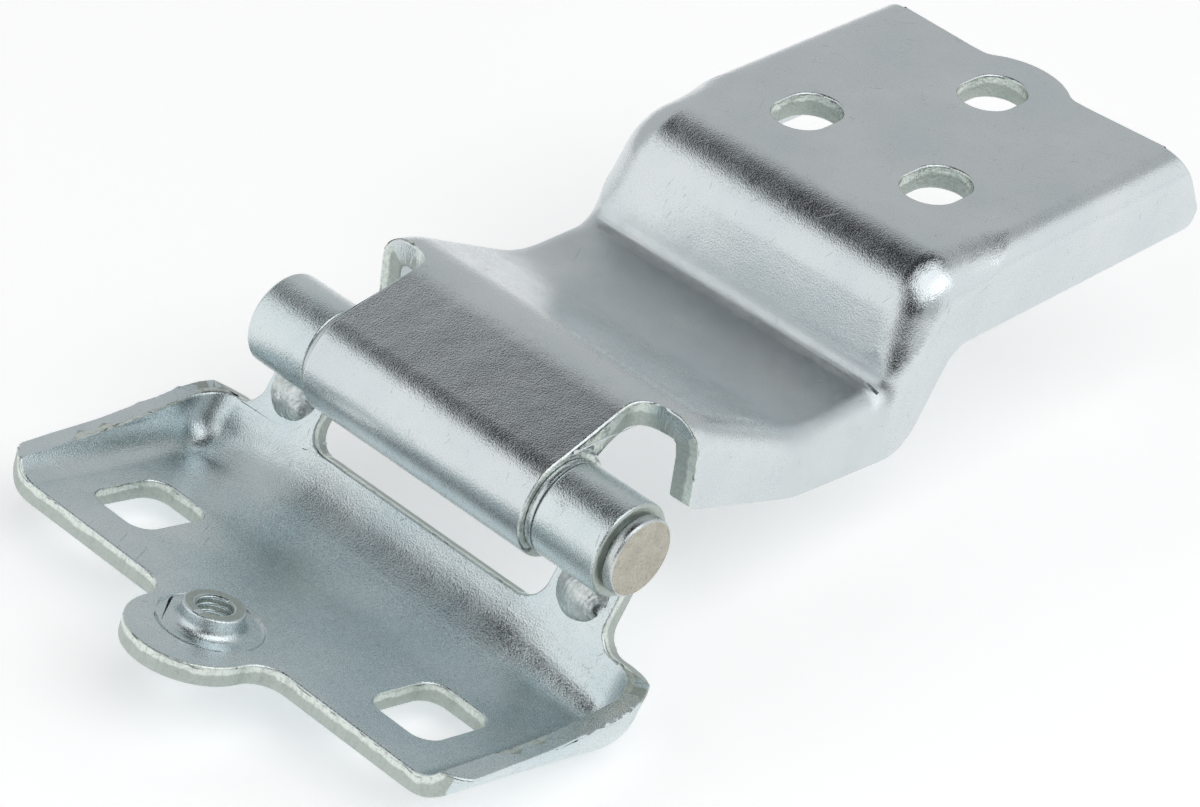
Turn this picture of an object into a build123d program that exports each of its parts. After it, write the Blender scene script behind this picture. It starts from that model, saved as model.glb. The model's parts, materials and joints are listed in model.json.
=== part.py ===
from build123d import *
import math
import os

# Frame: millimetres, +Z up. The origin is the middle of the hinge pin's axis, which runs along Y.
# +X points along the cranked leaf, and the tray leaf lies on the -X side, folded as in the photograph.

# Driving dimensions: the pin, the two sheets and the fits
pin_diameter = 8.0
cranked_sheet = 4.0
tray_sheet = 3.0
pivot_clearance = 0.06
washer_clearance = 0.05
washer_thickness = 1.0
washer_bore_clearance = 0.2
middle_eye_length = 42.0
outer_eye_length = 11.4

# Cranked leaf: a channel whose top line climbs off the eye, dips and steps up to the platform
channel_width = 61.0
channel_bend = 4.8
eye_climb = 14.0
roll_end = 41.5
hump_at = (15.0, 12.0)
valley_at = (41.6, -1.0)
step_foot_at = (56.8, -1.0)
platform_height = 16.0
step_angle = 70.0
hump_radius = 16.0
valley_radius = 25.0
step_foot_radius = 3.0
step_head_radius = 11.0
step_corner_bend = 7.2
step_corner_flare = 26.0
step_corner_gap = 0.05
step_corner_foot = 2.2
step_corner_lead = 1.6
platform_end = 122.4
platform_end_splay = 0.8
nose_radius = 11.6
nose_reach = 3.5
nose_root_radius = 3.0
skirt_depth = 13.6
skirt_end_at = (129.0, 5.4)
skirt_start = 14.6
skirt_start_depth = -1.8
skirt_belly_at = (38.0, -10.0)
skirt_low_at = (62.5, -12.6)
skirt_rise_at = (70.6, 2.4)
skirt_heel_radius = 3.0
skirt_belly_radius = 25.0
skirt_low_radius = 7.0
skirt_rise_radius = 5.0
skirt_end_radius = 2.0
skirt_end_rise = 0.8
tongue_width = 40.6
tongue_clear_height = 2.5
notch_flank_radius = 5.0
notch_radius = 3.6
notch_lip = 0.6
notch_flat = 4.7

# Slots in the platform: two side by side and one on the centre line nearer the nose
slot_width = 9.0
slot_length = 12.0
slot_pair_at = 84.3
slot_pair_spacing = 25.2
nose_slot_at = 113.2

# Tray leaf, in its own level: u runs away from the hinge along the floor, v up from the pin's axis
tray_fold = 14.1
tray_floor_drop = 22.9
tray_width = 90.0
tray_front = 36.4
tray_corner_radius = 6.0
wall_angle = 74.8
wall_top_reach = 14.3
rim_bend = 5.0
wall_corner_bend = 5.0
rim_heights = ((36.4, 2.0), (28.0, 2.7), (19.4, 3.6), (11.5, 5.0), (5.0, 6.4))
arm_flare_radius = 3.6
arm_foot_sink = 2.5
arm_relief = 0.5
arm_shift = 0.5
lobe_at = 40.4
lobe_shift = -0.6
lobe_radius = 9.5
lobe_blend = 4.0
window_at = 23.2
window_spacing = 55.2
window_length = 13.4
window_width = 11.3
window_corner = 3.0
collar_at = 37.2
collar_bore = 5.0
collar_outside = 8.6
collar_height = 2.6
collar_blend = 1.4
coin_radius = 7.3
coin_depth = 0.15

# Pin head, riveted tail and weld tacks
head_diameter = 11.6
head_thickness = 1.5
head_chamfer = 0.35
neck_diameter = 10.2
neck_thickness = 0.6
tail_diameter = 9.6
tail_thickness = 0.9
eye_edge_round = 0.5
eye_slit_at = 278.0
tack_diameter = 8.8
tack_rise = 1.7
tack_below_slit = 3.2
tack_shift_head_side = 0.3
tack_shift_tail_side = 1.2

# Sizes worked out from the driving ones
pin_radius = pin_diameter / 2
middle_eye_bore = pin_radius + pivot_clearance
middle_eye_radius = pin_radius + cranked_sheet
outer_eye_radius = pin_radius + tray_sheet
washer_gap = washer_thickness + 2 * washer_clearance
outer_eye_start = middle_eye_length / 2 + washer_gap
outer_eye_end = outer_eye_start + outer_eye_length
step_rise = platform_height - step_foot_at[1]
step_head_at = (step_foot_at[0] + step_rise / math.tan(math.radians(step_angle)), platform_height)
reach = 200.0
through = 60.0
touch = 0.01


def polar(radius, degrees):
    """A point at a distance and an angle from the origin, in a side view."""
    angle = math.radians(degrees)
    return radius * math.cos(angle), radius * math.sin(angle)


def prism(outline, half_width):
    """Extrudes a side-view outline (x across, z up) equally to both sides of the centre plane."""
    return extrude(Plane.XZ * outline, amount=half_width, both=True)


def block_above(outline):
    """Extrudes a plan-view outline far up and down."""
    return extrude(outline, amount=through, both=True)


def closed_face(line, *closing_points):
    """Closes an open line through the given points and fills it."""
    return make_face(line + Polyline(line @ 1, *closing_points, line @ 0))


def ring_sector(outer, inner, start, end, half_width):
    """A rolled eye: a ring seen from the side, from one angle round to another, in degrees."""
    ring = Circle(outer) - Circle(inner)
    steps = 12
    turn = (start + 360 - end) / steps
    gap_points = [polar(3 * outer, end + turn * index) for index in range(steps + 1)]
    return prism(ring - make_face(Polyline((0, 0), *gap_points, (0, 0))), half_width)


def inset_corners(corners, radii, depth):
    """Moves a top line down into the sheet by a depth, and fits its corner radii to that."""
    headings = [
        math.degrees(math.atan2(after[1] - before[1], after[0] - before[0]))
        for before, after in zip(corners, corners[1:])
    ]
    first, last = headings[0] - 90, headings[-1] - 90
    moved = [tuple(a + b for a, b in zip(corners[0], polar(depth, first)))]
    fitted = []
    for corner, heading, following, radius in zip(corners[1:-1], headings, headings[1:], radii):
        shift = depth / math.cos(math.radians((following - heading) / 2))
        moved.append(tuple(a + b for a, b in zip(corner, polar(shift, (heading + following) / 2 - 90))))
        fitted.append(radius + depth if following > heading else radius - depth)
    moved.append(tuple(a + b for a, b in zip(corners[-1], polar(depth, last))))
    return moved, fitted


def channel_block(depth):
    """The cranked leaf's outer shape as a full block, or its hollow when a sheet's depth is given."""
    eye_tangent = polar(middle_eye_radius, 90 + eye_climb)
    far_end = (skirt_end_at[0] + channel_bend, platform_height)
    corners = [eye_tangent, hump_at, valley_at, step_foot_at, step_head_at, far_end]
    radii = [hump_radius, valley_radius, step_foot_radius, step_head_radius]
    if depth > 0:
        overrun = polar(depth, eye_climb)
        corners[0] = (eye_tangent[0] - overrun[0], eye_tangent[1] - overrun[1])
        corners[-1] = (far_end[0] + depth, far_end[1])
        corners, radii = inset_corners(corners, radii, depth)
    start = corners[0]
    below_start = polar(through, eye_climb - 90)
    outline = closed_face(
        FilletPolyline(*corners, radius=radii),
        (corners[-1][0], -through),
        (start[0] + below_start[0], start[1] + below_start[1]),
    )
    half = channel_width / 2 - depth
    block = prism(outline, half)
    lowest = valley_at[1] - channel_bend - depth
    top_edges = [
        edge for edge in block.edges()
        if abs(abs((edge @ 0.5).Y) - half) < touch and all((edge @ share).Z > lowest for share in (0, 0.5, 1))
    ]
    return fillet(top_edges, channel_bend - depth)


def step_corner_trim(depth):
    """What is planed off the two upper corners of the step, where the side bends are rounder."""
    slope = math.radians(step_angle)
    run = through / math.tan(slope)
    corners = [
        (step_head_at[0] - run, platform_height - through),
        step_head_at,
        (step_head_at[0] + through, platform_height),
    ]
    radii = [step_head_radius]
    if depth > 0:
        corners, radii = inset_corners(corners, radii, depth)
    top_line = FilletPolyline(*corners, radius=radii)
    wedge = prism(closed_face(top_line, (corners[-1][0], corners[0][1])), through)

    half_turn = step_angle / 2
    arc_x = step_head_at[0] + step_head_radius * math.tan(math.radians(half_turn))
    arc_z = platform_height - step_head_radius
    along = polar(1, half_turn)
    outward = polar(1, half_turn + 90)
    plane = Plane(
        origin=(arc_x + step_head_radius * outward[0], 0, arc_z + step_head_radius * outward[1]),
        x_dir=(along[0], 0, along[1]),
        z_dir=(outward[0], 0, outward[1]),
    )
    half = channel_width / 2 - depth + step_corner_gap
    waist = Rectangle(1.5 * through, reach)
    for side in (-1, 1):
        waist -= Pos(step_corner_lead, side * (half + step_corner_flare)) * Circle(step_corner_flare)
    rounded = wedge & extrude(plane * waist, amount=through, both=True)

    def on_top_line(point):
        below_flat = platform_height - depth - point.Z
        ahead, drop = point.X - step_head_at[0], point.Z - platform_height
        inside_slope = ahead * math.sin(slope) - drop * math.cos(slope) - depth
        inside_arc = math.hypot(point.X - arc_x, point.Z - arc_z) - step_head_radius + depth
        return min(abs(below_flat), abs(inside_slope), abs(inside_arc)) < 2 * touch

    top_edges = [
        edge for edge in rounded.edges()
        if all(on_top_line(edge @ share) for share in (0.1, 0.5, 0.9)) and abs((edge @ 0.5).Y) > half - 1
        and abs((edge @ 0.5).Y - (edge @ 0.9).Y) > 0.001
    ]
    rounded = fillet(top_edges, step_corner_bend - depth)
    start, end = step_foot_at[0], step_head_at[0] + step_corner_flare
    foot = step_foot_at[1] + step_corner_foot
    zone = Pos((start + end) / 2, 0, foot + through / 2) * Box(end - start, channel_width * 1.2, through)
    return zone - rounded


def skirt_trim():
    """What is cut away below the channel's side skirts."""
    lower = FilletPolyline(
        (-reach, tongue_clear_height),
        (skirt_start, tongue_clear_height),
        (skirt_start, skirt_start_depth),
        skirt_belly_at,
        skirt_low_at,
        skirt_rise_at,
        (reach, platform_height - skirt_depth),
        radius=[
            skirt_heel_radius / 3, skirt_heel_radius, skirt_belly_radius, skirt_low_radius, skirt_rise_radius,
        ],
    )
    return prism(closed_face(lower, (reach, -reach), (-reach, -reach)), through)


def skirt_end_trim():
    """What is cut away beyond the skirts' slanted ends, outside the platform's flat top."""
    low = platform_height - skirt_depth
    start = skirt_end_at[0] - 4 * skirt_end_radius
    slant = FilletPolyline(
        (start, low),
        (skirt_end_at[0] - skirt_end_radius / 2, low),
        skirt_end_at,
        (platform_end, platform_height + skirt_end_rise),
        radius=[skirt_end_radius, skirt_end_radius],
    )
    around = [(platform_end, through), (reach, through), (reach, -through), (start, -through)]
    beyond = closed_face(slant, *around)
    outside = Rectangle(reach, 2 * through) - Rectangle(reach, channel_width - 2 * channel_bend)
    return prism(beyond, through) & block_above(Pos(reach / 2, 0) * outside)


def nose_trim():
    """What is cut away beyond the platform's end, leaving the round nose and the skirts' ends."""
    nose_centre = platform_end + nose_reach - nose_radius
    corner_y = channel_width / 2 - channel_bend
    splayed = platform_end + platform_end_splay
    keep = make_face(Polyline(
        (0, -corner_y), (splayed, -corner_y), (platform_end, -nose_radius), (platform_end, nose_radius),
        (splayed, corner_y), (0, corner_y), (0, -corner_y),
    ))
    keep += Pos(nose_centre, 0) * Circle(nose_radius)
    roots = [v for v in keep.vertices() if abs(v.X - platform_end) < touch and abs(v.Y) < nose_radius - 0.5]
    keep = fillet(roots, nose_root_radius)
    region = Pos(reach / 2, 0) * Rectangle(reach, 2 * corner_y)
    return block_above(region - keep)


def notch_trim():
    """The two corners cut out between the tongue and the ends of the skirts."""
    tongue = tongue_width / 2
    eye = middle_eye_length / 2
    end = skirt_start + notch_lip
    corners = FilletPolyline(
        (-through, eye), (0, eye), (end, tongue), (end, tongue + notch_flat), (skirt_start, channel_width),
        radius=[notch_flank_radius, notch_radius, notch_flank_radius],
    )
    notch = block_above(closed_face(corners, (-through, channel_width)))
    return notch + notch.mirror(Plane.XZ)


def slot(x, y):
    """One slot through the platform, long along X."""
    shape = extrude(SlotOverall(slot_length, slot_width), amount=2 * cranked_sheet, both=True)
    return Pos(x, y, platform_height) * shape


def cranked_leaf():
    """The long leaf: rolled middle eye, tongue, channel with skirts, step, slotted platform and nose."""
    outside = channel_block(0) - step_corner_trim(0)
    inside = channel_block(cranked_sheet) - step_corner_trim(cranked_sheet)
    leaf = outside - inside
    leaf -= skirt_trim()
    leaf -= skirt_end_trim()
    leaf -= notch_trim()
    leaf -= nose_trim()
    for side in (-1, 1):
        leaf -= slot(slot_pair_at, side * slot_pair_spacing / 2)
    leaf -= slot(nose_slot_at, 0)
    eye = ring_sector(middle_eye_radius, middle_eye_bore, 90 + eye_climb, roll_end, middle_eye_length / 2)
    return leaf + eye


def tray_block(depth):
    """The tray leaf's outer shape as a full block in its own level, or its hollow at a sheet's depth."""
    floor = -tray_floor_drop - tray_sheet + depth
    wall_offset = outer_eye_radius - depth
    lean = math.radians(90 - wall_angle)
    wall_foot = (wall_offset + floor * math.sin(lean)) / math.cos(lean)
    wall_head = (wall_offset + through * math.sin(lean)) / math.cos(lean)
    front = -reach / 2
    outline = make_face(Polyline(
        (front, through), (front, floor), (wall_foot, floor), (wall_head, through), (front, through)
    ))
    half = tray_width / 2 - depth
    block = prism(outline, half)
    inward = tray_sheet - depth
    wall_corners = [e for e in block.edges() if abs((e @ 0.5).X - (wall_foot + wall_head) / 2) < touch]
    block = fillet(wall_corners, wall_corner_bend + inward)
    long_edges = [
        e for e in block.edges()
        if abs((e @ 0.5).Z - floor) < touch and (e @ 0.5).X > front + 1
    ]
    return fillet(long_edges, rim_bend + inward - 0.01)


def wall_frame():
    """The outer wall face's level: x across the leaf along Y, y up the wall, z out of the sheet."""
    lean = 90 - wall_angle
    origin = polar(outer_eye_radius, -lean)
    normal = polar(1, -lean)
    return Plane(origin=(origin[0], 0, origin[1]), x_dir=(0, 1, 0), z_dir=(normal[0], 0, normal[1]))


def arms():
    """The wall's top with the two arms that rise to the outer eyes, flared into it at their feet."""
    inner, outer = outer_eye_start + arm_relief, outer_eye_end
    foot = -wall_top_reach
    sink = foot - arm_foot_sink
    span = outer + 1.4 * arm_flare_radius
    outline = Polyline(
        (-span, sink), (-span, foot), (-outer, foot), (-outer, 0), (-inner, 0), (-inner, foot),
        (inner, foot), (inner, 0), (outer, 0), (outer, foot), (span, foot), (span, sink), (-span, sink),
    )
    face = make_face(outline)
    feet = [v for v in face.vertices() if abs(v.Y - foot) < touch and abs(v.X) < span - 0.5]
    face = fillet(feet, arm_flare_radius)
    plane = wall_frame()
    return extrude(plane * (Pos(arm_shift, 0) * face), amount=-tray_sheet)


def outer_eye(side):
    """One rolled outer eye, from the arm's top over and down to the slit that the weld tack closes."""
    lean = 90 - wall_angle
    middle = side * (outer_eye_start + outer_eye_end) / 2
    roll = ring_sector(outer_eye_radius, pin_radius, -lean, eye_slit_at, outer_eye_length / 2)
    rims = roll.edges().filter_by(GeomType.CIRCLE)
    rims = [e for e in rims if abs(e.radius - outer_eye_radius) < touch]
    return Pos(0, middle, 0) * fillet(rims, eye_edge_round)


def rim_trim():
    """What is cut away above the tray's rims, which sink towards the open front, and above its wall."""
    heights = [(-u, h - tray_floor_drop) for u, h in rim_heights]
    lean = 90 - wall_angle
    wall_out = polar(outer_eye_radius, -lean)
    wall_in = polar(outer_eye_radius - tray_sheet, -lean)
    down = polar(wall_top_reach, 180 + wall_angle)
    wall_top = [(wall_in[0] + down[0], wall_in[1] + down[1]), (wall_out[0] + down[0], wall_out[1] + down[1])]
    beyond = polar(tray_sheet, -lean)
    crest = Spline(*heights, wall_top[0], tangents=[(1, 0), polar(1, 20)])
    lead = Line((-reach / 2, heights[0][1]), heights[0])
    top = (wall_top[1][0] + beyond[0], wall_top[1][1] + beyond[1])
    above = [(reach / 2, top[1]), (reach / 2, through), (-reach / 2, through)]
    close = Polyline(wall_top[0], top, *above, lead @ 0)
    return prism(make_face(lead + crest + close), through)


def tray_plan():
    """The floor's outline seen from above: straight front with rounded corners and a lobe."""
    half = tray_width / 2
    back = lobe_at / 2
    body = Pos((back - tray_front) / 2, 0) * Rectangle(back + tray_front, 2 * half)
    front_corners = [v for v in body.vertices() if v.X < 0]
    body = fillet(front_corners, tray_corner_radius)
    plan = body + Pos(-lobe_at, lobe_shift) * Circle(lobe_radius)
    roots = [v for v in plan.vertices() if abs(v.X + tray_front) < touch and abs(v.Y) < lobe_radius]
    return fillet(roots, lobe_blend)


def collar():
    """The collar round the tapped hole, drawn up out of the floor, before its bore is cut."""
    height = tray_sheet / 2 + collar_height
    shape = Cylinder(collar_outside / 2, height, align=(Align.CENTER, Align.CENTER, Align.MIN))
    return Pos(-collar_at, 0, -tray_floor_drop - tray_sheet / 2) * shape


def tray_leaf_level():
    """The tray leaf in its own level: floor, rims, wall, arms, rolled eyes and holes."""
    leaf = tray_block(0) - tray_block(tray_sheet)
    leaf -= rim_trim()
    leaf &= block_above(tray_plan())
    floor = -tray_floor_drop
    leaf -= Pos(-collar_at, 0, floor) * Cylinder(coin_radius, 2 * coin_depth)
    leaf += collar()
    foot = [
        e for e in leaf.edges().filter_by(GeomType.CIRCLE)
        if abs(e.radius - collar_outside / 2) < touch and abs(e.arc_center.Z - floor + coin_depth) < touch
    ]
    leaf = fillet(foot, collar_blend)
    leaf -= Pos(-collar_at, 0, floor) * Cylinder(collar_bore / 2, 6 * tray_sheet)
    window_shape = RectangleRounded(window_length, window_width, window_corner)
    window = extrude(window_shape, amount=2 * tray_sheet, both=True)
    for side in (-1, 1):
        leaf -= Pos(-window_at, side * window_spacing / 2, floor) * window
    leaf += arms()
    for side in (-1, 1):
        leaf += outer_eye(side)
    return leaf


def folded(shape):
    """Turns a shape from the tray leaf's own level to its place beside the cranked leaf."""
    return Rot(0, tray_fold, 0) * shape


def hinge_pin():
    """The plain steel pin: necked head at the -Y end, riveted tail at the +Y end."""
    def disc(diameter, thickness, start):
        shape = Cylinder(diameter / 2, thickness, align=(Align.CENTER, Align.CENTER, Align.MIN))
        return Pos(0, 0, start) * shape
    end = outer_eye_end
    head = disc(head_diameter, head_thickness, end + neck_thickness)
    head = chamfer(head.edges().sort_by(Axis.Z)[-1], head_chamfer)
    tail = disc(tail_diameter, tail_thickness, -end - tail_thickness)
    tail = fillet(tail.edges().sort_by(Axis.Z)[0], tail_thickness * 0.7)
    pin = disc(pin_diameter, 2 * end, -end) + disc(neck_diameter, neck_thickness, end) + head + tail
    return Rot(90, 0, 0) * pin


def washer(side):
    """A plain washer between the middle eye and one outer eye."""
    middle = side * (middle_eye_length / 2 + washer_gap / 2)
    ring = Cylinder(outer_eye_radius, washer_thickness) - Cylinder(
        pin_radius + washer_bore_clearance, washer_thickness
    )
    return Pos(0, middle, 0) * (Rot(90, 0, 0) * ring)


def weld_tack(side, leaf):
    """The weld spot that closes an outer eye's slit onto its arm, in the tray leaf's own level."""
    face = wall_frame().offset(-tray_sheet)
    slit = -math.sqrt(outer_eye_radius ** 2 - pin_radius ** 2)
    shift = tack_shift_head_side if side < 0 else tack_shift_tail_side
    across = side * (outer_eye_start + outer_eye_end) / 2 + shift
    centre = face.from_local_coords((across, slit - tack_below_slit, 0))
    radius = ((tack_diameter / 2) ** 2 + tack_rise ** 2) / (2 * tack_rise)
    into = face.z_dir * (radius - tack_rise)
    blob = Pos(*(centre + into)) * Sphere(radius)
    slab = extrude(face * Rectangle(4 * tray_width, 4 * tray_width), amount=-2 * tack_rise)
    return (blob & slab) - leaf


os.makedirs("parts", exist_ok=True)
tray_level = tray_leaf_level()
pieces = {
    "cranked_leaf": cranked_leaf(),
    "tray_leaf": folded(tray_level),
    "hinge_pin": hinge_pin(),
    "washer_head_side": washer(-1),
    "washer_tail_side": washer(1),
    "weld_tack_head_side": folded(weld_tack(-1, tray_level)),
    "weld_tack_tail_side": folded(weld_tack(1, tray_level)),
}
for node, shape in pieces.items():
    export_step(shape, f"parts/{node}.step")
    box = shape.bounding_box()
    print(node, [round(v, 1) for v in box.min], [round(v, 1) for v in box.max])
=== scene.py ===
import json
import math

import bpy
from mathutils import Euler, Matrix, Vector
from mathutils.bvhtree import BVHTree

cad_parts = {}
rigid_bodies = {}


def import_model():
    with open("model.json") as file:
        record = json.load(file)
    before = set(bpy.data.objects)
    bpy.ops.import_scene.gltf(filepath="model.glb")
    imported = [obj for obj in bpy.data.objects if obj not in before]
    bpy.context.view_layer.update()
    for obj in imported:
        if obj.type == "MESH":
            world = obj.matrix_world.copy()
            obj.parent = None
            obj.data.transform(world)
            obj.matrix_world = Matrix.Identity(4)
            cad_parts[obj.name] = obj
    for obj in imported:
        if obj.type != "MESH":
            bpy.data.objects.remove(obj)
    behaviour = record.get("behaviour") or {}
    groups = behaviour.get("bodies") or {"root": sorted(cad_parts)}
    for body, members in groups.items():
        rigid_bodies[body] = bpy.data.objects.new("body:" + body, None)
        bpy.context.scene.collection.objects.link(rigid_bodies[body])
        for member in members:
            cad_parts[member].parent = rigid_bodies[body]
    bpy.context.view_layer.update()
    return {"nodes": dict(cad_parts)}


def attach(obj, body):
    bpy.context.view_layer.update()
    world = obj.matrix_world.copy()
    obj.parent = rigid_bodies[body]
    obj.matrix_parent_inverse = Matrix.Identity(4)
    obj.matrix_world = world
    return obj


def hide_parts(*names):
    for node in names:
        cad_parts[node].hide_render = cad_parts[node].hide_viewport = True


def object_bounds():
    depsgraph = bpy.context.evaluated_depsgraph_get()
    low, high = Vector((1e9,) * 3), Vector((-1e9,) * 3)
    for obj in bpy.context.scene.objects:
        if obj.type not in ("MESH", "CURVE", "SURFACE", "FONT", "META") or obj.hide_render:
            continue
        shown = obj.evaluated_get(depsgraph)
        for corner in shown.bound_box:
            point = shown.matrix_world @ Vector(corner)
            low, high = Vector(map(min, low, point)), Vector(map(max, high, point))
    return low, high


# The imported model: two pressed steel leaves on one riveted pin, in metres.
# The pin's axis is the Y axis through the origin, and +Z is up.
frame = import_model()
MM = 0.001

# The camera stands high on the tray's side of the hinge and looks down
# across the pin, with the long lens of a product photograph.
camera_data = bpy.data.cameras.new("camera")
camera_data.lens = 109.41
camera_data.sensor_width = 36.0
camera_data.clip_start = 0.01
camera_data.clip_end = 20.0
camera = bpy.data.objects.new("camera", camera_data)
camera.location = Vector((-301.461, -268.823, 279.619)) * MM
camera.rotation_euler = Euler([math.radians(a) for a in (55.7327, -7.2297, -46.1153)])
bpy.context.scene.collection.objects.link(camera)
bpy.context.scene.camera = camera

# The studio: a pale table top, a soft grey room, and three large soft lamps.
bpy.context.scene.view_settings.view_transform = "Standard"
floor_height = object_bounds()[0][2]
table_half = 1.6
bpy.ops.object.select_all(action="DESELECT")
bpy.ops.mesh.primitive_plane_add(size=2 * table_half, location=(0, 0, floor_height))
table = bpy.context.object
table.name = "table_top"

table_paint = bpy.data.materials.new("table_paint")
table_paint.use_nodes = True
nodes, links = table_paint.node_tree.nodes, table_paint.node_tree.links
nodes.clear()
out = nodes.new("ShaderNodeOutputMaterial")
matt = nodes.new("ShaderNodeBsdfDiffuse")
matt.inputs["Color"].default_value = (0.93, 0.93, 0.93, 1)
# To the camera and in the plating the table is a shade whiter than it is lit,
# as an over-lit white table in a photograph is; its shadow stays.
glow = nodes.new("ShaderNodeEmission")
rays = nodes.new("ShaderNodeLightPath")
seen = nodes.new("ShaderNodeMath")
seen.operation = "MAXIMUM"
seen_through = nodes.new("ShaderNodeMath")
seen_through.operation = "MAXIMUM"
lift = nodes.new("ShaderNodeMath")
lift.operation = "MULTIPLY"
lift.inputs[1].default_value = 0.36
both = nodes.new("ShaderNodeAddShader")
links.new(rays.outputs["Is Camera Ray"], seen.inputs[0])
links.new(rays.outputs["Is Glossy Ray"], seen.inputs[1])
links.new(seen.outputs["Value"], seen_through.inputs[0])
links.new(rays.outputs["Is Transmission Ray"], seen_through.inputs[1])
links.new(seen_through.outputs["Value"], lift.inputs[0])
links.new(lift.outputs["Value"], glow.inputs["Strength"])
links.new(matt.outputs["BSDF"], both.inputs[0])
links.new(glow.outputs["Emission"], both.inputs[1])
links.new(both.outputs["Shader"], out.inputs["Surface"])
table.data.materials.append(table_paint)

# The room is a soft grey up to the ceiling, which is dark, and so is the side
# behind the camera. Both draw the dark lines that bright plating shows along
# its bends.
world = bpy.data.worlds.new("room")
world.use_nodes = True
nodes, links = world.node_tree.nodes, world.node_tree.links
room = nodes["Background"]
direction = nodes.new("ShaderNodeTexCoord")
height = nodes.new("ShaderNodeSeparateXYZ")
ceiling = nodes.new("ShaderNodeMapRange")
ceiling.inputs["From Min"].default_value = 0.775
ceiling.inputs["From Max"].default_value = 0.795
behind = nodes.new("ShaderNodeVectorMath")
behind.operation = "DOT_PRODUCT"
behind.inputs[1].default_value = Vector((-0.58, -0.50, 0.60)).normalized()
dark_side = nodes.new("ShaderNodeMapRange")
dark_side.inputs["From Min"].default_value = 0.85
dark_side.inputs["From Max"].default_value = 0.89
dark = nodes.new("ShaderNodeMath")
dark.operation = "MAXIMUM"
walls = nodes.new("ShaderNodeMix")
walls.data_type = "RGBA"
walls.inputs["A"].default_value = (0.575, 0.58, 0.585, 1)
walls.inputs["B"].default_value = (0.035, 0.035, 0.04, 1)
links.new(direction.outputs["Generated"], height.inputs[0])
links.new(direction.outputs["Generated"], behind.inputs[0])
links.new(height.outputs["Z"], ceiling.inputs["Value"])
links.new(behind.outputs["Value"], dark_side.inputs["Value"])
links.new(ceiling.outputs["Result"], dark.inputs[0])
links.new(dark_side.outputs["Result"], dark.inputs[1])
links.new(dark.outputs["Value"], walls.inputs["Factor"])
links.new(walls.outputs["Result"], room.inputs["Color"])
bpy.context.scene.world = world


def soft_lamp(name, size, azimuth, elevation, distance, brightness):
    """A large lamp turned towards the hinge, as bright as a surface of that value."""
    data = bpy.data.lights.new(name, "AREA")
    data.shape = "RECTANGLE"
    data.size, data.size_y = size
    data.energy = math.pi * size[0] * size[1] * brightness
    lamp = bpy.data.objects.new(name, data)
    turn, rise = math.radians(azimuth), math.radians(elevation)
    place = Vector((math.cos(turn) * math.cos(rise), math.sin(turn) * math.cos(rise), math.sin(rise)))
    lamp.location = place * distance
    lamp.rotation_euler = (-place).to_track_quat("-Z", "Y").to_euler()
    bpy.context.scene.collection.objects.link(lamp)


soft_lamp("lamp_over_side", (1.3, 1.3), -90, 62, 1.2, 1.25)
soft_lamp("lamp_left", (1.5, 1.1), 158, 26, 1.0, 0.42)
soft_lamp("lamp_front", (1.0, 0.7), -48, 20, 1.0, 0.42)


# The cranked leaf: one piece of 4 mm steel, blanked, pierced and pressed into
# a channel that steps up to its slotted platform, its tongue rolled round the
# pin, then bright zinc plated. Its blanked edges are rolled over on one side.
def welded_copy(node, name):
    """A copy of a leaf's solid with its loose triangles joined, selected and active."""
    plate = bpy.data.objects.new(name, frame["nodes"][node].data.copy())
    bpy.context.scene.collection.objects.link(plate)
    bpy.ops.object.select_all(action="DESELECT")
    bpy.context.view_layer.objects.active = plate
    plate.select_set(True)
    bpy.ops.mesh.customdata_custom_splitnormals_clear()
    bpy.ops.object.mode_set(mode="EDIT")
    bpy.ops.mesh.select_mode(type="FACE")
    bpy.ops.mesh.select_all(action="SELECT")
    bpy.ops.mesh.remove_doubles(threshold=weld)
    bpy.ops.mesh.select_all(action="DESELECT")
    bpy.ops.object.mode_set(mode="OBJECT")
    return plate


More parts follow.
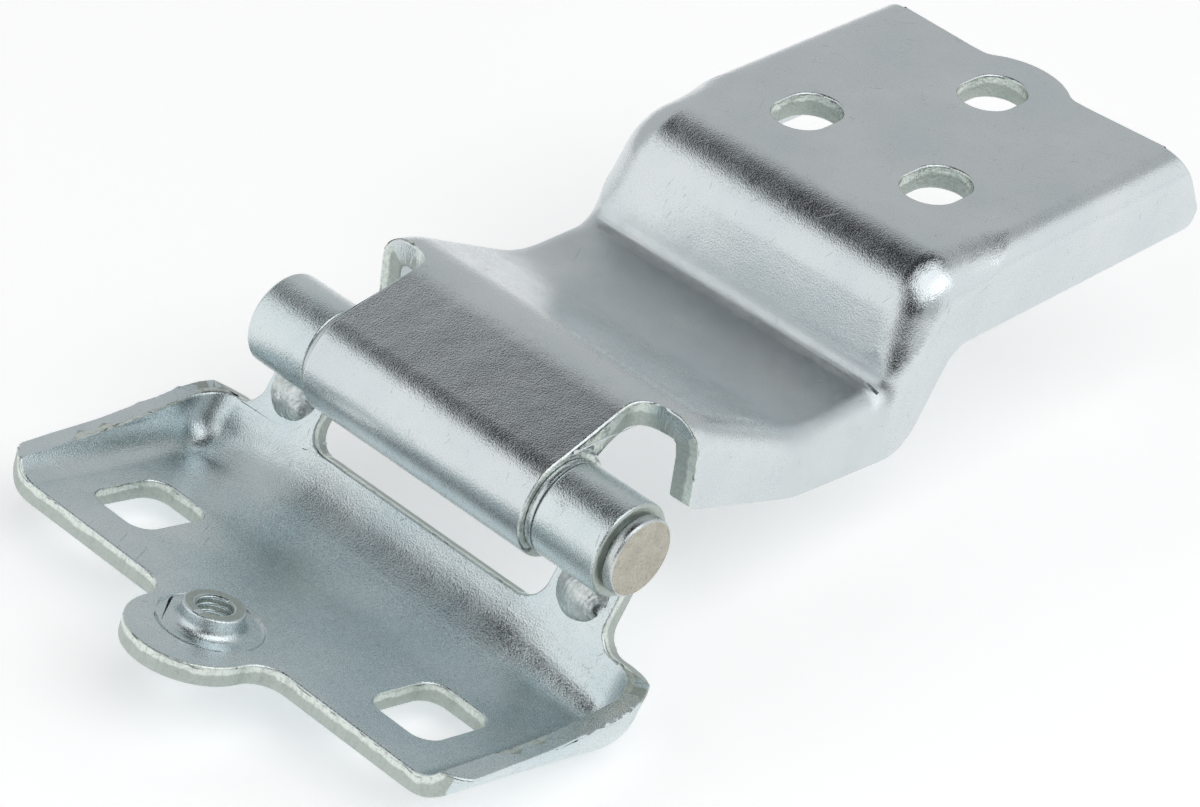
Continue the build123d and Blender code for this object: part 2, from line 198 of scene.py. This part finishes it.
def blank_edges(plate, sheet, rolled_within, rollover):
    """Marks a leaf's blanked faces and rolls their edges over."""
    mesh = plate.data
    # A face of the sheet has the sheet's own thickness behind it, and a blanked
    # face has more. The rolled eyes lie back on the sheet, so they are told apart
    # by the way they face.
    points = [corner.co.copy() for corner in mesh.vertices]
    solid = BVHTree.FromPolygons(points, [face.vertices[:] for face in mesh.polygons])
    for face in mesh.polygons:
        hit = solid.ray_cast(face.center - face.normal * 0.02 * sheet, -face.normal)
        through = hit[3] / sheet if hit[0] is not None else 9
        rolled = abs(face.normal.y) < 0.3 and face.center.xz.length < rolled_within
        on_sheet = 0.85 < through < 1.3 or rolled
        face.material_index = 0 if on_sheet else 1
    tops = [face for face in mesh.polygons if face.material_index == 0 and face.normal.z > 0.9]
    top = max(tops, key=lambda face: face.area).index
    bpy.ops.object.mode_set(mode="EDIT")
    bpy.ops.mesh.select_mode(type="EDGE")
    bpy.ops.mesh.select_all(action="DESELECT")
    bpy.ops.mesh.edges_select_sharp(sharpness=math.radians(40))
    bpy.ops.mesh.mark_sharp()
    bpy.ops.mesh.select_mode(type="FACE")
    bpy.ops.mesh.select_all(action="DESELECT")
    bpy.ops.object.mode_set(mode="OBJECT")
    mesh.polygons[top].select = True
    bpy.ops.object.mode_set(mode="EDIT")
    bpy.ops.mesh.select_linked(delimit={"SHARP", "MATERIAL"})
    bpy.ops.object.mode_set(mode="OBJECT")
    outside = BVHTree.FromPolygons(points, [face.vertices[:] for face in mesh.polygons if face.select])

    bpy.ops.object.mode_set(mode="EDIT")
    bpy.ops.mesh.select_mode(type="EDGE")
    bpy.ops.mesh.select_all(action="SELECT")
    bpy.ops.mesh.mark_sharp(clear=True)
    bpy.ops.mesh.dissolve_limited(angle_limit=math.radians(0.2), delimit={"MATERIAL"})
    bpy.ops.mesh.select_all(action="DESELECT")
    bpy.ops.mesh.edges_select_sharp(sharpness=math.radians(40))
    bpy.ops.object.mode_set(mode="OBJECT")
    blanked = {key for face in mesh.polygons if face.material_index == 1 for key in face.edge_keys}
    for edge in mesh.edges:
        edge.select = edge.select and edge.key in blanked
    bpy.ops.object.mode_set(mode="EDIT")
    bpy.ops.mesh.bevel(offset=rollover, segments=3, clamp_overlap=False, affect="EDGES")
    bpy.ops.object.mode_set(mode="OBJECT")
    # Where the bevel overshoots at a short edge, the corner goes back to the sheet.
    for corner in mesh.vertices:
        place, normal, index, gap = solid.find_nearest(corner.co)
        if gap > 0.45 * rollover:
            corner.co = place
    bpy.ops.object.mode_set(mode="EDIT")
    bpy.ops.mesh.select_all(action="SELECT")
    bpy.ops.mesh.remove_doubles(threshold=weld)
    bpy.ops.object.mode_set(mode="OBJECT")

    # Two attributes for the blanked faces: how deep in the sheet a point lies,
    # and the place above it on the outside, along which the shear marks run.
    mesh.attributes.new("shear_depth", "FLOAT", "POINT")
    mesh.attributes.new("shear_edge", "FLOAT_VECTOR", "POINT")
    depth, edge = mesh.attributes["shear_depth"], mesh.attributes["shear_edge"]
    for corner in mesh.vertices:
        place, normal, index, gap = outside.find_nearest(corner.co)
        depth.data[corner.index].value = gap / sheet
        edge.data[corner.index].vector = place
    bpy.ops.object.shade_smooth_by_angle(angle=math.radians(42))
    flat_faces = plate.modifiers.new("flat_faces", "WEIGHTED_NORMAL")
    flat_faces.keep_sharp = True
    flat_faces.weight = 60
    bpy.ops.object.modifier_apply(modifier="flat_faces")


def wire(material, source, target):
    material.node_tree.links.new(source, target)


def noise(material, place, scale, detail=3.0, stretch=(1, 1, 1), turn=(0, 0, 0)):
    """A noise of one scale, stretched or turned on the piece's own coordinates."""
    nodes = material.node_tree.nodes
    texture = nodes.new("ShaderNodeTexNoise")
    texture.inputs["Scale"].default_value = scale
    texture.inputs["Detail"].default_value = detail
    texture.inputs["Roughness"].default_value = 0.6
    if stretch != (1, 1, 1) or turn != (0, 0, 0):
        mapping = nodes.new("ShaderNodeMapping")
        mapping.vector_type = "TEXTURE"
        mapping.inputs["Scale"].default_value = stretch
        mapping.inputs["Rotation"].default_value = turn
        wire(material, place, mapping.inputs["Vector"])
        place = mapping.outputs["Vector"]
    wire(material, place, texture.inputs["Vector"])
    return texture.outputs["Fac"]


def spread(material, source, low, high, out_low=0.0, out_high=1.0):
    """Stretches a value between two levels, held at both ends."""
    levels = material.node_tree.nodes.new("ShaderNodeMapRange")
    levels.inputs["From Min"].default_value = low
    levels.inputs["From Max"].default_value = high
    levels.inputs["To Min"].default_value = out_low
    levels.inputs["To Max"].default_value = out_high
    wire(material, source, levels.inputs["Value"])
    return levels.outputs["Result"]


def tinted(material, share, first, second):
    """Goes from one colour to another, each a value or a socket, by a share."""
    mix = material.node_tree.nodes.new("ShaderNodeMix")
    mix.data_type = "RGBA"
    wire(material, share, mix.inputs["Factor"])
    for socket, colour in ((mix.inputs["A"], first), (mix.inputs["B"], second)):
        if isinstance(colour, tuple):
            socket.default_value = (*colour, 1)
        else:
            wire(material, colour, socket)
    return mix.outputs["Result"]


def together(material, first, second, operation="ADD"):
    """One sum, product or larger of two values, each a number or a socket."""
    node = material.node_tree.nodes.new("ShaderNodeMath")
    node.operation = operation
    for socket, value in zip(node.inputs, (first, second)):
        if isinstance(value, (int, float)):
            socket.default_value = value
        else:
            wire(material, value, socket)
    return node.outputs["Value"]


def product(material, first, second):
    return together(material, first, second, "MULTIPLY")


def relief(material, height, distance, before=None):
    """Turns a height into a change of the surface's slope."""
    node = material.node_tree.nodes.new("ShaderNodeBump")
    node.inputs["Distance"].default_value = distance
    wire(material, height, node.inputs["Height"])
    if before is not None:
        wire(material, before, node.inputs["Normal"])
    return node.outputs["Normal"]


def bare_metal(name):
    """A new metal, with its shader and the piece's own coordinates."""
    material = bpy.data.materials.new(name)
    material.use_nodes = True
    nodes = material.node_tree.nodes
    shader = nodes["Principled BSDF"]
    shader.inputs["Metallic"].default_value = 1.0
    return material, shader, nodes.new("ShaderNodeTexCoord").outputs["Object"]


def zinc_plating(name, bright, cool, grain_depth, roughness, recess=None):
    """Bright zinc: clouding, a fine grain, scratches and specks, duller in a recess.

    The recess is given by its start and end along X and by its top."""
    material, shader, place = bare_metal(name)
    clouds = noise(material, place, 70, 3.0)
    patches = noise(material, place, 330, 3.0)
    grain = noise(material, place, 3900, 2.0)
    one_way = noise(material, place, 320, 1.5, (4, 0.13, 1), (0, 0, 0.5))
    other_way = noise(material, place, 380, 1.5, (3, 0.13, 1), (0, 0, -0.8))
    one_way, other_way = spread(material, one_way, 0.725, 0.76), spread(material, other_way, 0.73, 0.77)
    scratch = together(material, one_way, other_way, "MAXIMUM")
    speck = spread(material, together(material, grain, patches), 1.30, 1.38)
    dull = tuple(0.45 * value for value in cool)
    tint = tinted(material, spread(material, clouds, 0.36, 0.66), bright, cool)
    tint = tinted(material, product(material, speck, 0.6), tint, dull)
    tint = tinted(material, product(material, scratch, 0.12), tint, dull)
    wire(material, tint, shader.inputs["Base Color"])
    rough = spread(material, patches, 0.3, 0.7, roughness - 0.04, roughness + 0.05)
    rough = together(material, rough, product(material, scratch, 0.12))
    rough = together(material, rough, spread(material, grain, 0.45, 0.65, -0.03, 0.12))
    if recess is not None:
        start, end, top = recess
        fade_in, fade_out = 8 * MM, 2 * MM
        axes = material.node_tree.nodes.new("ShaderNodeSeparateXYZ")
        wire(material, place, axes.inputs[0])
        past_start = spread(material, axes.outputs["X"], start, start + fade_in)
        before_end = spread(material, axes.outputs["X"], end - fade_out, end, 1.0, 0.0)
        below_top = spread(material, axes.outputs["Z"], top - fade_out, top, 1.0, 0.0)
        inside = product(material, product(material, past_start, before_end), below_top)
        rough = together(material, rough, product(material, inside, 0.22))
    wire(material, rough, shader.inputs["Roughness"])
    waves = relief(material, clouds, 0.16 * MM)
    height = together(material, product(material, product(material, patches, grain), 0.4), grain)
    height = together(material, height, product(material, scratch, -0.5))
    wire(material, relief(material, height, grain_depth, waves), shader.inputs["Normal"])
    return material


def sheared_edge(name):
    """A blanked edge under zinc: a smooth band under the outside, then a rougher torn one, with a
    broken dark line near the top that is partly painted shade.
    """
    material, shader, place = bare_metal(name)
    nodes = material.node_tree.nodes
    along = nodes.new("ShaderNodeAttribute")
    along.attribute_name = "shear_edge"
    deep = nodes.new("ShaderNodeAttribute")
    deep.attribute_name = "shear_depth"
    streaks = noise(material, along.outputs["Vector"], 1500, 3.0)
    broad = noise(material, along.outputs["Vector"], 330, 2.0)
    pits = noise(material, place, 2200, 3.0)
    line = together(material, deep.outputs["Fac"], product(material, broad, 0.4))
    torn = spread(material, line, 0.52, 0.62)
    tint = tinted(material, torn, (0.76, 0.82, 0.77), (0.50, 0.555, 0.52))
    streaked = spread(material, streaks, 0.50, 0.68, 0.0, 0.32)
    tint = tinted(material, streaked, tint, (0.36, 0.41, 0.39))
    pitted = spread(material, pits, 0.52, 0.66, 0.0, 0.45)
    tint = tinted(material, pitted, tint, (0.36, 0.40, 0.385))
    # Near the top of the cut face a broken dark line is painted: partly painted shade where the
    # rolled-over edge turns down into the face, partly the slightly rough top edge of the plate.
    lip_top, lip_foot = spread(material, line, 0.24, 0.28), spread(material, line, 0.30, 0.34, 1.0, 0.0)
    gaps = spread(material, noise(material, place, 450, 2.0), 0.50, 0.62)
    lip_shade_and_rough_line = product(material, product(material, lip_top, lip_foot), gaps)
    tint = tinted(material, lip_shade_and_rough_line, tint, (0.20, 0.22, 0.22))
    wire(material, tint, shader.inputs["Base Color"])
    wire(material, spread(material, line, 0.52, 0.62, 0.30, 0.46), shader.inputs["Roughness"])
    rough = together(material, product(material, streaks, 0.5), pits)
    wire(material, relief(material, rough, 0.12 * MM), shader.inputs["Normal"])
    return material


weld = 0.002 * MM
cranked_sheet = 4 * MM
cranked_eye = 11 * MM
cranked_rollover = 0.4 * MM
step_foot_corner = (57.6 * MM, 25.8 * MM, 0.9 * MM)
step_foot_reach = 2.2 * MM
channel_floor = (30 * MM, 59 * MM, 5 * MM)
cranked = welded_copy("cranked_leaf", "cranked_leaf_plate")
for side in (-1, 1):
    foot = Vector((step_foot_corner[0], side * step_foot_corner[1], step_foot_corner[2]))
    for corner in cranked.data.vertices:
        corner.select = (corner.co - foot).length < step_foot_reach
    bpy.ops.object.mode_set(mode="EDIT")
    bpy.ops.mesh.select_mode(type="VERT")
    bpy.ops.mesh.vertices_smooth(factor=0.5, repeat=4)
    bpy.ops.mesh.select_all(action="DESELECT")
    bpy.ops.object.mode_set(mode="OBJECT")
cranked.data.materials.clear()
cranked_zinc = zinc_plating(
    "cranked_leaf_zinc", (0.70, 0.742, 0.755), (0.64, 0.697, 0.718), 0.032 * MM, 0.18, channel_floor
)
cranked.data.materials.append(cranked_zinc)
cranked.data.materials.append(sheared_edge("cranked_leaf_cut_edge"))
blank_edges(cranked, cranked_sheet, cranked_eye, cranked_rollover)
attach(cranked, "cranked")
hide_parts("cranked_leaf")

# The tray leaf: 3 mm steel pressed into a shallow tray with low rims, its back
# wall pierced between two arms that are rolled over the pin. A hole is drawn
# up out of the floor and tapped.
tray_sheet = 3 * MM
tray_fold = math.radians(14.1)
tray_right = Vector((math.cos(tray_fold), 0, -math.sin(tray_fold)))
tray_up = Vector((math.sin(tray_fold), 0, math.cos(tray_fold)))
tray_floor = -22.9 * MM
wall_angle = math.radians(74.8)
wall_inner = 4 * MM
tray_eye = 10 * MM
tray_rollover = 0.35 * MM
tight_bend = 5 * MM
soft_bend = 18 * MM
soft_bend_full, soft_bend_end = 17 * MM, 41 * MM
rim_from, rim_start, rim_end = 42.6 * MM, 3 * MM, 41 * MM


def wall_bend_reach(level, angle, sheet_depth, centre):
    """How far the old bend lies from the new bend's centre, in one direction."""
    way = (math.sin(angle), -math.cos(angle))
    out = (math.sin(wall_angle), -math.cos(wall_angle))
    floor_at, wall_at = tray_floor - sheet_depth, wall_inner + sheet_depth
    radius = tight_bend + sheet_depth
    to_floor = (level[1] - floor_at) / max(way[1] * -1, 1e-6)
    wall_gap = wall_at - out[0] * level[0] - out[1] * level[1]
    to_wall = wall_gap / max(out[0] * way[0] + out[1] * way[1], 1e-6)
    gap = (level[0] - centre[0], level[1] - centre[1])
    along = gap[0] * way[0] + gap[1] * way[1]
    root = along * along - gap[0] ** 2 - gap[1] ** 2 + radius ** 2
    if root > 0:
        to_arc = -along + math.sqrt(root)
        turn = math.atan2(gap[0] + way[0] * to_arc, -(gap[1] + way[1] * to_arc))
        if 0 <= turn <= wall_angle:
            return to_arc
    return min(to_floor, to_wall)


def soften_wall_bend(plate):
    """Opens the tight bend between floor and wall to a soft one, away from the two corners."""
    half = math.tan(wall_angle / 2)
    corner = ((wall_inner + math.cos(wall_angle) * tray_floor) / math.sin(wall_angle), tray_floor)
    tight_centre = (corner[0] - tight_bend * half, tray_floor + tight_bend)
    level = (corner[0] - soft_bend * half, tray_floor + soft_bend)
    middle = tray_right * level[0] + tray_up * level[1]
    bpy.ops.object.mode_set(mode="EDIT")
    fan = 18
    for step in range(fan + 1):
        angle = wall_angle * step / fan
        across = tray_right * math.cos(angle) + tray_up * math.sin(angle)
        bpy.ops.mesh.select_all(action="SELECT")
        bpy.ops.mesh.bisect(plane_co=middle, plane_no=across)
    for side in (-1, 1):
        for at in (17, 20, 23, 26, 29, 32, 35, 38, 41):
            bpy.ops.mesh.select_all(action="SELECT")
            bpy.ops.mesh.bisect(plane_co=(0, side * at * MM, 0), plane_no=(0, 1, 0))
    bpy.ops.mesh.select_all(action="DESELECT")
    bpy.ops.object.mode_set(mode="OBJECT")
    for point in plate.data.vertices:
        right, up = point.co.dot(tray_right) - level[0], point.co.dot(tray_up) - level[1]
        angle, reach = math.atan2(right, -up), math.hypot(right, up)
        if not 0 < angle < wall_angle or reach < 0.5 * soft_bend:
            continue
        inside = wall_bend_reach(level, angle, 0, tight_centre)
        outside = wall_bend_reach(level, angle, tray_sheet, tight_centre)
        share = (reach - inside) / (outside - inside)
        fade = (soft_bend_end - abs(point.co.y)) / (soft_bend_end - soft_bend_full)
        fade = min(max(fade, 0), 1)
        fade = fade * fade * (3 - 2 * fade)
        goal = soft_bend + share * tray_sheet
        new = reach + (goal - reach) * fade
        point.co += (tray_right * math.sin(angle) - tray_up * math.cos(angle)) * (new - reach)


tray = welded_copy("tray_leaf", "tray_leaf_plate")
soften_wall_bend(tray)
tray.data.materials.clear()
tray.data.materials.append(
    zinc_plating("tray_leaf_zinc", (0.70, 0.765, 0.775), (0.61, 0.70, 0.725), 0.048 * MM, 0.21)
)
tray.data.materials.append(sheared_edge("tray_leaf_cut_edge"))
blank_edges(tray, tray_sheet, tray_eye, tray_rollover)
# The collar's press ring and the rims' edges are rounded over, so they keep the
# plating's look.
press_ring = (2.7 * MM, 7.5 * MM)
collar_at = 37.2 * MM
collar_foot = -collar_at * tray_right + tray_floor * tray_up
for face in tray.data.polygons:
    from_axis = face.center - collar_foot
    from_axis = (from_axis - tray_up * from_axis.dot(tray_up)).length
    from_hinge = -face.center.dot(tray_right)
    on_rim = abs(face.center.y) > rim_from and rim_start < from_hinge < rim_end
    if press_ring[0] < from_axis < press_ring[1] or on_rim:
        face.material_index = 0
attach(tray, "tray")
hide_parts("tray_leaf")

# The collar's thread: an M6 thread cut in the drawn collar, one ridge that
# winds down the bore in the same zinc as the leaf.
thread_pitch = 1 * MM
thread_crest = 2.42 * MM
thread_root = 2.53 * MM
thread_half_foot = 0.42 * thread_pitch
thread_turns = 4
collar_top = tray_floor + 2.4 * MM
bpy.ops.object.select_all(action="DESELECT")
bpy.ops.mesh.primitive_circle_add(vertices=3, radius=0.3 * MM, fill_type="NOTHING")
thread = bpy.context.object
thread.name = "collar_thread"
ridge = ((thread_root, thread_half_foot), (thread_crest, 0), (thread_root, -thread_half_foot))
for corner, (out, up) in zip(thread.data.vertices, ridge):
    corner.co = (out, 0, up)
winding = thread.modifiers.new("winding", "SCREW")
winding.axis = "Z"
winding.screw_offset = -thread_pitch
winding.iterations = thread_turns
winding.steps = winding.render_steps = 48
winding.use_smooth_shade = True
bpy.ops.object.modifier_apply(modifier="winding")
bpy.ops.object.mode_set(mode="EDIT")
bpy.ops.mesh.select_mode(type="EDGE")
bpy.ops.mesh.select_all(action="DESELECT")
bpy.ops.mesh.select_non_manifold()
bpy.ops.mesh.edge_face_add()
bpy.ops.mesh.select_all(action="SELECT")
bpy.ops.mesh.normals_make_consistent(inside=False)
bpy.ops.object.mode_set(mode="OBJECT")
turn = Matrix.Rotation(tray_fold, 4, "Y")
thread.data.transform(Matrix.Translation(-collar_at * tray_right + collar_top * tray_up) @ turn)
thread.data.materials.append(tray.data.materials[0])
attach(thread, "tray")

# The pin: turned steel with a flat riveted head, plated, its end faces bare
# where the rivet tool pressed them. It is driven through both leaves' eyes.
def bare_steel(name):
    """Pressed, unplated steel: warm grey, stippled, with small pits."""
    material, shader, place = bare_metal(name)
    stipple = noise(material, place, 3200, 3.0)
    patches = noise(material, place, 800, 3.0)
    pits = spread(material, stipple, 0.54, 0.70)
    stained = spread(material, patches, 0.35, 0.65)
    tint = tinted(material, stained, (0.53, 0.51, 0.44), (0.48, 0.46, 0.395))
    tint = tinted(material, product(material, pits, 0.6), tint, (0.20, 0.20, 0.16))
    wire(material, tint, shader.inputs["Base Color"])
    wire(material, spread(material, patches, 0.35, 0.65, 0.38, 0.52), shader.inputs["Roughness"])
    wire(material, relief(material, stipple, 0.06 * MM), shader.inputs["Normal"])
    return material


def softened_copy(node, name, edge_round):
    """A copy of a small turned solid, welded, with its sharp edges taken off."""
    piece = welded_copy(node, name)
    bpy.ops.object.mode_set(mode="EDIT")
    bpy.ops.mesh.select_mode(type="EDGE")
    bpy.ops.mesh.select_all(action="SELECT")
    bpy.ops.mesh.dissolve_limited(angle_limit=math.radians(0.2))
    bpy.ops.mesh.select_all(action="DESELECT")
    bpy.ops.mesh.edges_select_sharp(sharpness=math.radians(30))
    bpy.ops.mesh.bevel(offset=edge_round, segments=2, clamp_overlap=True, affect="EDGES")
    bpy.ops.object.mode_set(mode="OBJECT")
    bpy.ops.object.shade_smooth_by_angle(angle=math.radians(35))
    return piece


small_round = 0.12 * MM
pin_ends_from = 34 * MM
pin = softened_copy("hinge_pin", "hinge_pin_turned", small_round)
pin.data.materials.clear()
pin.data.materials.append(
    zinc_plating("hinge_pin_zinc", (0.62, 0.65, 0.65), (0.50, 0.54, 0.55), 0.03 * MM, 0.25)
)
pin.data.materials.append(bare_steel("hinge_pin_bare_face"))
for face in pin.data.polygons:
    at_end = abs(face.normal.y) > 0.9 and abs(face.center.y) > pin_ends_from
    face.material_index = 1 if at_end else 0
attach(pin, "tray")
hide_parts("hinge_pin")

# The washers: two plain rings, punched from 1 mm strip and plated, one on
# each side of the middle eye. They keep the eyes apart as the hinge turns.
washer_zinc = zinc_plating(
    "washer_zinc", (0.66, 0.70, 0.72), (0.52, 0.57, 0.60), 0.025 * MM, 0.24
)
for side in ("head", "tail"):
    washer = softened_copy(f"washer_{side}_side", f"washer_{side}_side_ring", small_round)
    washer.data.materials.clear()
    washer.data.materials.append(washer_zinc)
    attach(washer, "tray")
    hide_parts(f"washer_{side}_side")

# The weld tacks: one puddle of weld in each corner under an outer eye, which
# locks the rolled arm's end to the wall. Each is set in rings round a crater, a hollow cut in it and
# painted nearly black for its shade.
def weld_bead(name, rings_at, ring_gap, crater_size):
    """Weld metal under zinc: dull grey, lumpy, with faint rings round a crater painted nearly black for
    the shade in its hollow.
    """
    material, shader, place = bare_metal(name)
    nodes = material.node_tree.nodes
    centred = nodes.new("ShaderNodeVectorMath")
    centred.operation = "SUBTRACT"
    centred.inputs[1].default_value = rings_at
    wire(material, place, centred.inputs[0])
    rings = nodes.new("ShaderNodeTexWave")
    rings.wave_type = "RINGS"
    rings.rings_direction = "SPHERICAL"
    rings.inputs["Scale"].default_value = 0.31 / ring_gap
    rings.inputs["Distortion"].default_value = 2.5
    rings.inputs["Detail"].default_value = 2.0
    wire(material, centred.outputs["Vector"], rings.inputs["Vector"])
    lumps = noise(material, place, 900, 3.0)
    grit = noise(material, place, 4200, 2.0)
    lumpy = spread(material, lumps, 0.35, 0.65)
    tint = tinted(material, lumpy, (0.72, 0.76, 0.75), (0.58, 0.63, 0.63))
    sooty = spread(material, grit, 0.60, 0.70, 0.0, 0.45)
    tint = tinted(material, sooty, tint, (0.22, 0.23, 0.23))
    reach = nodes.new("ShaderNodeVectorMath")
    reach.operation = "LENGTH"
    wire(material, centred.outputs["Vector"], reach.inputs[0])
    # Painted shade: the crater's hollow is coloured nearly black, fading out just past its rim.
    inner, outer = 0.95 * crater_size, 1.35 * crater_size
    crater_hollow_and_shade = spread(material, reach.outputs["Value"], inner, outer, 0.85, 0.0)
    tint = tinted(material, crater_hollow_and_shade, tint, (0.07, 0.07, 0.07))
    wire(material, tint, shader.inputs["Base Color"])
    wire(material, spread(material, lumps, 0.35, 0.65, 0.26, 0.42), shader.inputs["Roughness"])
    height = together(material, product(material, rings.outputs["Fac"], 0.35), lumps)
    ringed = relief(material, height, 0.1 * MM)
    wire(material, relief(material, grit, 0.02 * MM, ringed), shader.inputs["Normal"])
    return material


lumps = bpy.data.textures.new("weld_lumps", "CLOUDS")
lumps.noise_scale = 2.2 * MM
lump_height = 0.35 * MM
skin_size = 0.16 * MM
ring_gap = 0.7 * MM
for side, crater, depth in (
    ("head", (-1.7, -31.4, -10.4), 0.85 * MM),
    ("tail", (-3.2, 25.9, -10.6), 0.5 * MM),
):
    crater = Vector(crater) * MM
    tack = welded_copy(f"weld_tack_{side}_side", f"weld_tack_{side}_side_bead")
    skin = tack.modifiers.new("skin", "REMESH")
    skin.mode = "VOXEL"
    skin.voxel_size = skin_size
    bpy.ops.object.modifier_apply(modifier="skin")
    waves = tack.modifiers.new("waves", "DISPLACE")
    waves.texture = lumps
    waves.texture_coords = "LOCAL"
    waves.strength = lump_height
    waves.mid_level = 0.55
    bpy.ops.object.modifier_apply(modifier="waves")
    soften = tack.modifiers.new("soften", "SMOOTH")
    soften.iterations = 3
    bpy.ops.object.modifier_apply(modifier="soften")
    bpy.ops.mesh.primitive_ico_sphere_add(subdivisions=3, radius=depth, location=crater)
    hollow = bpy.context.object
    bpy.ops.object.select_all(action="DESELECT")
    bpy.context.view_layer.objects.active = tack
    tack.select_set(True)
    crater_hollow_and_shade = tack.modifiers.new("crater_hollow_and_shade", "BOOLEAN")
    crater_hollow_and_shade.operation = "DIFFERENCE"
    crater_hollow_and_shade.object = hollow
    bpy.ops.object.modifier_apply(modifier="crater_hollow_and_shade")
    bpy.data.objects.remove(hollow)
    bpy.ops.object.shade_smooth_by_angle(angle=math.radians(50))
    tack.data.materials.clear()
    tack.data.materials.append(weld_bead(f"weld_bead_{side}_side", crater, ring_gap, depth))
    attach(tack, "tray")
    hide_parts(f"weld_tack_{side}_side")
